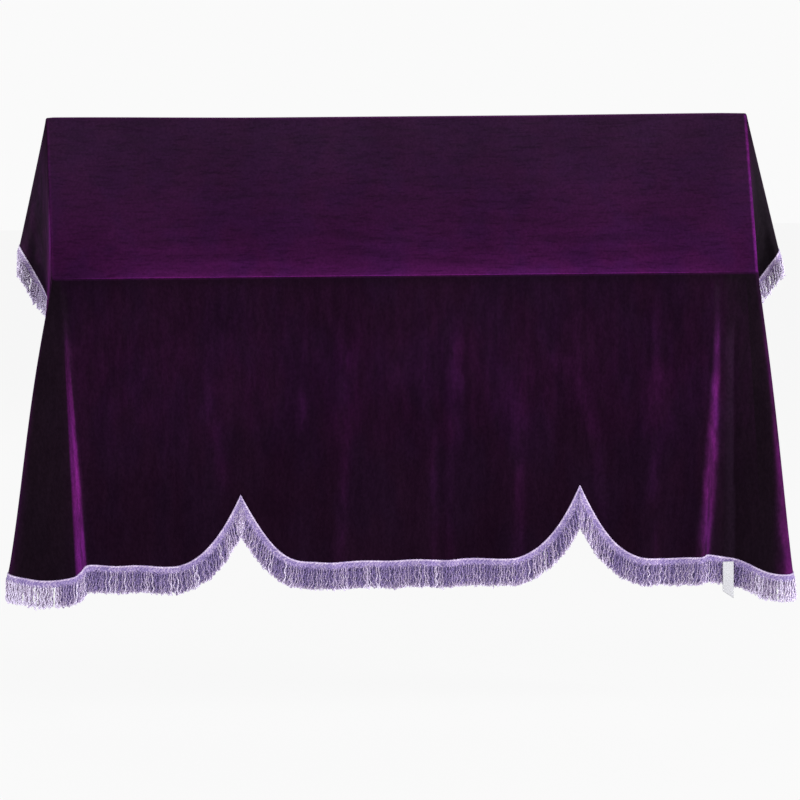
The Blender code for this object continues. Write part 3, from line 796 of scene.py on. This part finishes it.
def yarn_material():
    """Lavender rayon: the tone, which carries painted light and shade, runs through YARN_COLOURS, finely
    mottled by the fibres.
    """
    material, tree, shader = new_material("lavender_rayon_yarn", {
        "Roughness": 0.5,
        "Specular IOR Level": 0.35,
        "Sheen Weight": 0.15,
        "Sheen Tint": (0.85, 0.8, 1.0, 1.0),
    })
    place = add_node(tree, "TexCoord", {})["Object"]
    fibres = add_node(tree, "TexNoise", {"Vector": place, "Scale": 300.0, "Detail": 3.0})["Fac"]
    tone = add_node(tree, "Attribute", {}, attribute_name="tone")["Fac"]
    ends = {"Value": fibres, "From Min": 0.3, "From Max": 0.7, "To Min": -0.18, "To Max": 0.18}
    mottle = add_node(tree, "MapRange", ends)["Result"]
    mottled = add_node(tree, "Math", {0: tone, 1: mottle}, operation="ADD")[0]
    ramp = tree.nodes.new("ShaderNodeValToRGB")
    ramp.color_ramp.elements[0].color = YARN_COLOURS[0][1]
    ramp.color_ramp.elements[1].color = YARN_COLOURS[-1][1]
    for position, color in YARN_COLOURS[1:-1]:
        ramp.color_ramp.elements.new(position).color = color
    tree.links.new(mottled, ramp.inputs["Fac"])
    tree.links.new(ramp.outputs["Color"], shader.inputs["Base Color"])
    add_bump(tree, shader, fibres, 0.3, 0.0004)
    return material


# The heading's mesh: the distance between its columns, and its rows. Its profile: the shares of its
# height where the cord lies and where the plaited bands begin, and how far the ground, a band and
# the cord stand out, and the back behind.
HEADING_STEP, HEADING_ROWS = 0.0016, 13
CORD_AT, CORD_HALF = 0.12, 0.10
BAND_TOPS, BAND_HIGH = (0.14, 0.56), 0.42
GROUND_THICK, BAND_THICK, CORD_THICK, HEADING_BACK = 0.0006, 0.0009, 0.0013, 0.0011

# The plait: its length along the hem, how far it slants, and the share of a band that stands out.
# It drifts by a few tenths of its length, at two paces along the hem.
PLAIT, PLAIT_SLANT, PLAIT_RELIEF = 0.0070, 2.2, 0.55
PLAIT_DRIFT = ((0.35, 0.013), (0.20, 0.0047))

# The heading's tone, what the bands and the cord add to it, its back's, its speckle, and how far
# it changes along the hem, at two paces.
HEADING_TONE, BAND_TONE, CORD_TONE, BACK_TONE, SPECKLE = 0.44, 0.40, 0.38, 0.40, 0.09
TONE_WAVE, TONE_PACES = 0.06, (0.023, 0.009)
SPECKLE_SEED = 0


def heading_piece(trim, material):
    """The woven heading: a closed profile carried along the hem.

    Across the front the profile swells into the top cord, a bell, and two plaited bands, each a
    half sine to the power 0.5. Their height is a wave that runs along the hem, slanted one way
    in the first band and back in the second.
    """
    trace, measured = hem_length(trim)
    count = int(measured[-1] / HEADING_STEP)
    lengths = np.linspace(0, measured[-1], count)
    seam, square, _, _, out = sewn_at(trim, lengths, trace, measured)
    v = np.linspace(0, 1, HEADING_ROWS)
    slant = np.where(v < BAND_TOPS[1], v, 2 * BAND_TOPS[1] - v) * PLAIT_SLANT
    drift = sum(share * np.sin(lengths / pace) for share, pace in PLAIT_DRIFT)
    weave = 0.5 + 0.5 * np.sin(2 * np.pi * ((lengths / PLAIT + drift)[:, None] + slant[None]))
    bands = sum(np.sin(np.pi * np.clip((v - top) / BAND_HIGH, 0, 1)) ** 0.5 for top in BAND_TOPS)
    cord = bell(v - CORD_AT, CORD_HALF)
    height = GROUND_THICK + BAND_THICK * bands * (1 - PLAIT_RELIEF + PLAIT_RELIEF * weave)
    height += CORD_THICK * cord
    down = (v * (HEADING + SEAM_LAP) - SEAM_LAP)[None, :, None]
    front = seam[:, None] + square[:, None] * down + out[:, None] * height[..., None]
    back = seam[:, None] + square[:, None] * down[:, [-1, 0]] - out[:, None] * HEADING_BACK
    loop = np.concatenate((front, back), axis=1)
    # The side headings are painted paler, as light.
    tone = trim.paler + HEADING_TONE + BAND_TONE * (weave - 0.5) * bands + CORD_TONE * cord
    tone += np.random.default_rng(SPECKLE_SEED).normal(0, SPECKLE, weave.shape) * bands
    tone += TONE_WAVE * np.sin(lengths / TONE_PACES[0] + 2 * np.sin(lengths / TONE_PACES[1]))[:, None]
    tone = np.concatenate((tone, np.full((count, back.shape[1]), BACK_TONE)), axis=1)
    ring = np.arange(count * loop.shape[1]).reshape(count, -1)
    faces = grid_faces(np.hstack((ring, ring[:, :1]))).tolist()
    faces += [ring[0, ::-1].tolist(), ring[-1].tolist()]
    piece = add_piece(trim.name + "_heading", loop, faces, material)
    put_attribute(piece, "tone", tone)
    return piece


# A yarn goes down, turns and comes up again, wound round itself. One entry for each ring of the
# tube on the way down: its depth as a share of the drop, how far it swings from the middle of the
# twist, its radius, and its tone against the yarn's own, which is painted shade just under the
# heading and painted light towards the tip.
LOOP_DEPTH = np.array((0.0, 0.12, 0.24, 0.36, 0.48, 0.60, 0.72, 0.84, 0.95, 1.0))
LOOP_SWING = np.array((1.0, 1.0, 1.0, 1.0, 1.0, 1.0, 1.05, 1.2, 1.6, 0.7))
LOOP_RADIUS = np.array((0.9, 1.0, 1.0, 1.0, 1.0, 1.0, 1.0, 1.0, 1.0, 0.95))
LOOP_LIGHT_AND_SHADE = np.array((0.0, -0.10, -0.08, -0.04, -0.02, 0.0, 0.02, 0.06, 0.24, 0.40))
TWIST_TURNS = 1.25

# The curly loops in front, and the thicker, straighter ones that fill the gaps, whose darker tone
# is painted shade between the yarns. pitch is the distance between loops, forward how far they hang
# in front of the hem, radius the tube's and twist the winding's, and shorter how much less far
# down they reach.
YarnRow = namedtuple("YarnRow", "name pitch forward radius sides twist wave shorter tone tone_spread")
YARN_ROWS = (
    YarnRow("outer", 0.0050, 0.0016, 0.00110, 4, 0.00110, 0.0023, 0.0, 0.58, 0.12),
    YarnRow("inner", 0.0019, -0.0014, 0.00172, 3, 0.00120, 0.0004, 0.0025, 0.30, 0.09),
)

# How unevenly the yarns hang, in metres where nothing else is said. A spread is that of a chance, and
# a pace is the length of hem over which a slow change runs through one radian.
ROOT_SHIFT = 0.3                                    # along the hem, in pitches
ROOT_HIDDEN = (0.001, 0.006)                        # how much of a yarn the heading hides
LENGTH_SPREAD, LENGTH_WAVE, LENGTH_PACES = 0.0014, 0.0012, (0.037, 0.011)
CLUMP, CLUMP_DRIFT, CLUMP_PACE = 0.0150, 0.4, 0.06  # the drift in clumps
CLUMP_PULL = 0.22                                   # share of the way to its clump's middle
SWAY_SPREAD, SWAY_WAVE, SWAY_PACE = 0.0010, 0.0030, 0.085
CLUMP_LIFT, LIFT_SPREAD = 0.0008, 0.0007            # out of the hem: a clump's, a yarn's own
WAVE_TURNS, WAVE_SPREAD = (1.4, 2.8), (0.5, 1.5)    # in a yarn's length, of its row's wave
CURL_SPREAD, CURL_FROM = 0.0012, 0.8                # at the tip, from this share of the drop

# Towards both ends of the front the yarns are painted paler, as light, and the inner row is
# thinner: where along x that begins and is full, the share of inner yarns left out, and the share
# of the way that the yarns' tone goes to the pale tone of that painted light.
END_AT, END_THIN, END_NEARS, END_LIGHT_TONE = (0.71, 0.74), 0.45, 0.32, 1.6
CLUMP_TONE, TWIST_LIGHT = 0.05, 0.14                 # what a clump changes in the tone, and the painted light on the forward half of each twist

# The clumps' seed is the same for every row of yarns, so that the rows sway together. A row's own
# seed is its number plus SEEDS_APART times its fringe's.
CLUMP_SEED, SEEDS_APART = 3, 10


def yarns_piece(trim, row, material, seed):
    """One row of hanging loops.

    The middle of a loop is its root plus the way down times its depth, plus a sway along the
    hem (by depth^1.2) and a lift out of it (by depth^1.5), both partly alike within a clump,
    plus a wave (by depth^0.4) and a curl at the tip. The tube swings round that middle on a
    circle, TWIST_TURNS times on the way down, and its sides stand on the cross product of its
    own direction and the radius turned by a right angle.
    """
    chance = np.random.default_rng(seed)
    trace, measured = hem_length(trim)
    count = int(measured[-1] / row.pitch)
    shift = chance.uniform(-ROOT_SHIFT, ROOT_SHIFT, count)
    lengths = (np.arange(count) + 0.5 + shift) * measured[-1] / count
    at_end = rise(np.abs(hem(np.interp(lengths, measured, trace))[:, 0]), *END_AT)
    left_out = (END_THIN + trim.paler) * at_end * (row.name == "inner")
    kept = chance.uniform(0, 1, count) >= left_out
    lengths, at_end, count = lengths[kept], at_end[kept], int(kept.sum())
    seam, square, hang, along, out = sewn_at(trim, lengths, trace, measured)
    root = seam + square * (HEADING - chance.uniform(*ROOT_HIDDEN, count))[:, None]
    root += out * row.forward
    reach = trim.drop + chance.normal(0, LENGTH_SPREAD, count) - row.shorter - norm(root - seam)[:, 0]
    reach += LENGTH_WAVE * np.prod([np.sin(lengths / pace) for pace in LENGTH_PACES], axis=0)

    drift = CLUMP_DRIFT * np.sin(lengths / CLUMP_PACE)
    clump = np.rint(lengths / CLUMP + drift).astype(int)
    clump_chance = np.random.default_rng(CLUMP_SEED).normal(0, 1, (clump.max() + 2, 3))[clump]
    sway = ((clump - drift) * CLUMP - lengths) * CLUMP_PULL
    sway += clump_chance[:, 0] * SWAY_SPREAD + chance.normal(0, SWAY_SPREAD, count)
    sway *= row.wave / YARN_ROWS[0].wave
    sway += SWAY_WAVE * np.sin(lengths / SWAY_PACE + trim.first)
    lift = CLUMP_LIFT * clump_chance[:, 1] + chance.normal(0, LIFT_SPREAD, count)

    depth = np.append(LOOP_DEPTH, LOOP_DEPTH[::-1])[None]
    swing = row.twist * np.append(LOOP_SWING, -LOOP_SWING[::-1])[None]
    angle = 2 * np.pi * (TWIST_TURNS * depth + chance.uniform(0, 1, count)[:, None])
    wave_turns = chance.uniform(*WAVE_TURNS, count)[:, None] * depth + chance.uniform(0, 1, count)[:, None]
    wave = row.wave * chance.uniform(*WAVE_SPREAD, count)[:, None] * np.sin(2 * np.pi * wave_turns)
    curl = chance.normal(0, CURL_SPREAD, count)[:, None] * np.clip(depth - CURL_FROM, 0, 1)
    curl /= 1 - CURL_FROM
    aside = sway[:, None] * depth ** 1.2 + swing * np.cos(angle) + wave * depth ** 0.4 + curl
    forward = lift[:, None] * depth ** 1.5 + swing * np.sin(angle)
    middle = root[:, None] + hang[:, None] * (reach[:, None] * depth)[..., None]
    middle = middle + along[:, None] * aside[..., None] + out[:, None] * forward[..., None]

    way = unit(np.gradient(middle, axis=1))
    binding = out[:, None] * np.cos(angle)[..., None] - along[:, None] * np.sin(angle)[..., None]
    first = unit(np.cross(way, binding))
    second = np.cross(way, first)
    turn = np.arange(row.sides) * 2 * np.pi / row.sides
    ring = first[:, :, None] * np.cos(turn)[:, None] + second[:, :, None] * np.sin(turn)[:, None]
    radius = row.radius * np.append(LOOP_RADIUS, LOOP_RADIUS[::-1])
    tube = middle[:, :, None] + ring * radius[:, None, None]

    number = np.arange(tube[..., 0].size).reshape(count, depth.size, row.sides)
    around = np.concatenate((number, number[..., :1]), axis=2)
    quads = np.stack((around[:, :-1, :-1], around[:, :-1, 1:], around[:, 1:, 1:], around[:, 1:, :-1]), -1)
    faces = quads.reshape(-1, 4).tolist()
    faces += number[:, 0, ::-1].tolist() + number[:, -1].tolist()
    piece = add_piece(trim.name + "_" + row.name + "_yarns", tube, faces, material)
    tone = row.tone + CLUMP_TONE * clump_chance[:, 2] + chance.normal(0, row.tone_spread, count)
    # Painted light: paler towards both ends of the front, and on the side fringes.
    tone += END_NEARS * (END_LIGHT_TONE - row.tone) * at_end + trim.paler
    # Painted shade under the heading and painted light at the tips.
    tone = tone[:, None] + np.append(LOOP_LIGHT_AND_SHADE, LOOP_LIGHT_AND_SHADE[::-1])[None]
    # Painted light on the half of each twist that swings forward, shade on the half that swings back.
    tone = tone + TWIST_LIGHT * np.sin(angle + np.pi * (swing < 0))
    put_attribute(piece, "tone", np.repeat(np.clip(tone, 0, 1)[..., None], row.sides, axis=2))
    return piece


rayon = yarn_material()
fringe_pieces = []
for number, trim in enumerate(TRIMS):
    seeds = SEEDS_APART * number + np.arange(len(YARN_ROWS))
    made = [heading_piece(trim, rayon)]
    made += [yarns_piece(trim, row, rayon, seed) for row, seed in zip(YARN_ROWS, seeds)]
    for piece in made:
        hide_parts(trim.name)
    fringe_pieces += made


# ==== The label ===============================================================================
# A blank satin ribbon, 23 mm wide, that hangs in front of the fringe near the right corner. It is
# caught by its top edge in the heading and cut on a slant at its lower end.

LABEL_AT = (0.6685, -0.4545, -0.930)    # the middle of its top edge
LABEL_WIDTH = 0.023
LABEL_DROP = 0.062                      # at its left edge
LABEL_SLANT = 0.016                     # how much longer it is at the right
LABEL_THICK = 0.0005
LABEL_BELLY, LABEL_CURL = 0.0012, 0.0022    # forward in the middle, back at the sides below
LABEL_COLUMNS, LABEL_ROWS = 13, 25      # points of its mesh, across and down


def ribbon_material():
    """White satin ribbon: fine ribs across, a soft shine."""
    looks = {"Base Color": (0.50, 0.50, 0.53, 1.0), "Roughness": 0.38}
    material, tree, shader = new_material("white_satin_ribbon", looks)
    place = add_node(tree, "TexCoord", {})["Object"]
    ribs = add_node(tree, "TexWave", {"Vector": place, "Scale": 400.0}, bands_direction="Z")["Fac"]
    add_bump(tree, shader, ribs, 0.2, 0.0002)
    return material


# u runs across the ribbon, from -0.5 to 0.5, and v down it, from 0 to 1. It bellies forward by half a
# sine of v, and curls back by LABEL_CURL u^2 v.
u, v = np.meshgrid(np.linspace(-0.5, 0.5, LABEL_COLUMNS), np.linspace(0, 1, LABEL_ROWS))
label_x = LABEL_AT[0] + u * LABEL_WIDTH
label_y = LABEL_AT[1] - LABEL_BELLY * np.sin(np.pi * v) + LABEL_CURL * u ** 2 * v
label_z = LABEL_AT[2] - v * (LABEL_DROP + LABEL_SLANT * (u + 0.5))
label_points = np.stack((label_x, label_y, label_z), axis=-1)
label_faces = grid_faces(np.arange(u.size).reshape(u.shape))[:, ::-1].tolist()
label = add_piece("care_label_ribbon", label_points, label_faces, ribbon_material())
thicken(label, LABEL_THICK, 0.0)
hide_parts("care_label")


# ==== The studio ==============================================================================
# A flat pale floor under a pale sky, six square soft lights, of which the one on the right is the
# brightest for its size, and a camera at the left, a little above the top of the cover.

FLOOR_Z = -1.22
CAMERA_AT = (-0.470, -8.17, 0.03)
CAMERA_YAW, CAMERA_PITCH, CAMERA_ROLL = math.radians(-3.358), math.radians(4.53), math.radians(-0.432)
CAMERA_LENS = 168.05

floor_mesh = bpy.data.meshes.new("studio_floor")
floor_corners = [(-14, -12, FLOOR_Z), (14, -12, FLOOR_Z), (14, 30, FLOOR_Z), (-14, 30, FLOOR_Z)]
floor_mesh.from_pydata(floor_corners, [], [(0, 1, 2, 3)])
paper = new_material("studio_paper", {
    "Base Color": (0.04, 0.04, 0.04, 1.0),
    "Roughness": 1.0,
    "Specular IOR Level": 0.0,
    "Emission Color": (1.0, 1.0, 1.0, 1.0),
    "Emission Strength": 0.915,
})[0]
floor_mesh.materials.append(paper)
studio_floor = bpy.data.objects.new("studio_floor", floor_mesh)
bpy.context.scene.collection.objects.link(studio_floor)


def area_light(name, place, target, size, power):
    """A square soft light that faces a point."""
    data = bpy.data.lights.new(name, "AREA")
    data.size = size
    data.energy = power
    light = bpy.data.objects.new(name, data)
    light.location = place
    light.rotation_euler = (Vector(target) - Vector(place)).to_track_quat("-Z", "Y").to_euler()
    bpy.context.scene.collection.objects.link(light)


area_light("key", (5.0, -1.9, 1.0), (0.0, -0.4, -0.5), 1.6, 230.0)
area_light("front", (1.5, -6.5, 0.8), (0.0, -0.4, -0.4), 3.0, 190.0)
area_light("front left", (-2.6, -6.8, 0.4), (-0.4, -0.3, -0.4), 2.5, 130.0)
area_light("top", (0.4, -1.0, 4.0), (0.0, -0.2, -0.3), 2.0, 30.0)
area_light("side", (-5.0, -0.8, 0.4), (-0.8, -0.1, -0.4), 2.0, 90.0)
area_light("rear", (-2.0, 6.0, 3.5), (0.0, 0.0, -0.3), 2.5, 150.0)

# The air lights softly and looks pale to the camera.
world = bpy.data.worlds.new("studio_air")
world.use_nodes = True
tree = world.node_tree
air = tree.nodes["Background"]
air.inputs["Color"].default_value = (1.0, 1.0, 1.0, 1.0)
air.inputs["Strength"].default_value = 0.20
seen = add_node(tree, "Background", {"Color": (0.956, 0.956, 0.956, 1.0)})[0]
by_camera = add_node(tree, "LightPath", {})["Is Camera Ray"]
either = add_node(tree, "MixShader", {"Fac": by_camera, 1: air.outputs[0], 2: seen})[0]
tree.links.new(either, tree.nodes["World Output"].inputs["Surface"])
bpy.context.scene.world = world
bpy.context.scene.view_settings.view_transform = "Standard"

camera_data = bpy.data.cameras.new("camera")
camera_data.lens = CAMERA_LENS
camera_data.clip_end = 100.0
camera = bpy.data.objects.new("camera", camera_data)
aim = Matrix.Rotation(CAMERA_YAW, 4, "Z") @ Matrix.Rotation(math.pi / 2 - CAMERA_PITCH, 4, "X")
camera.matrix_world = Matrix.Translation(CAMERA_AT) @ aim @ Matrix.Rotation(CAMERA_ROLL, 4, "Z")
bpy.context.scene.collection.objects.link(camera)
bpy.context.scene.camera = camera
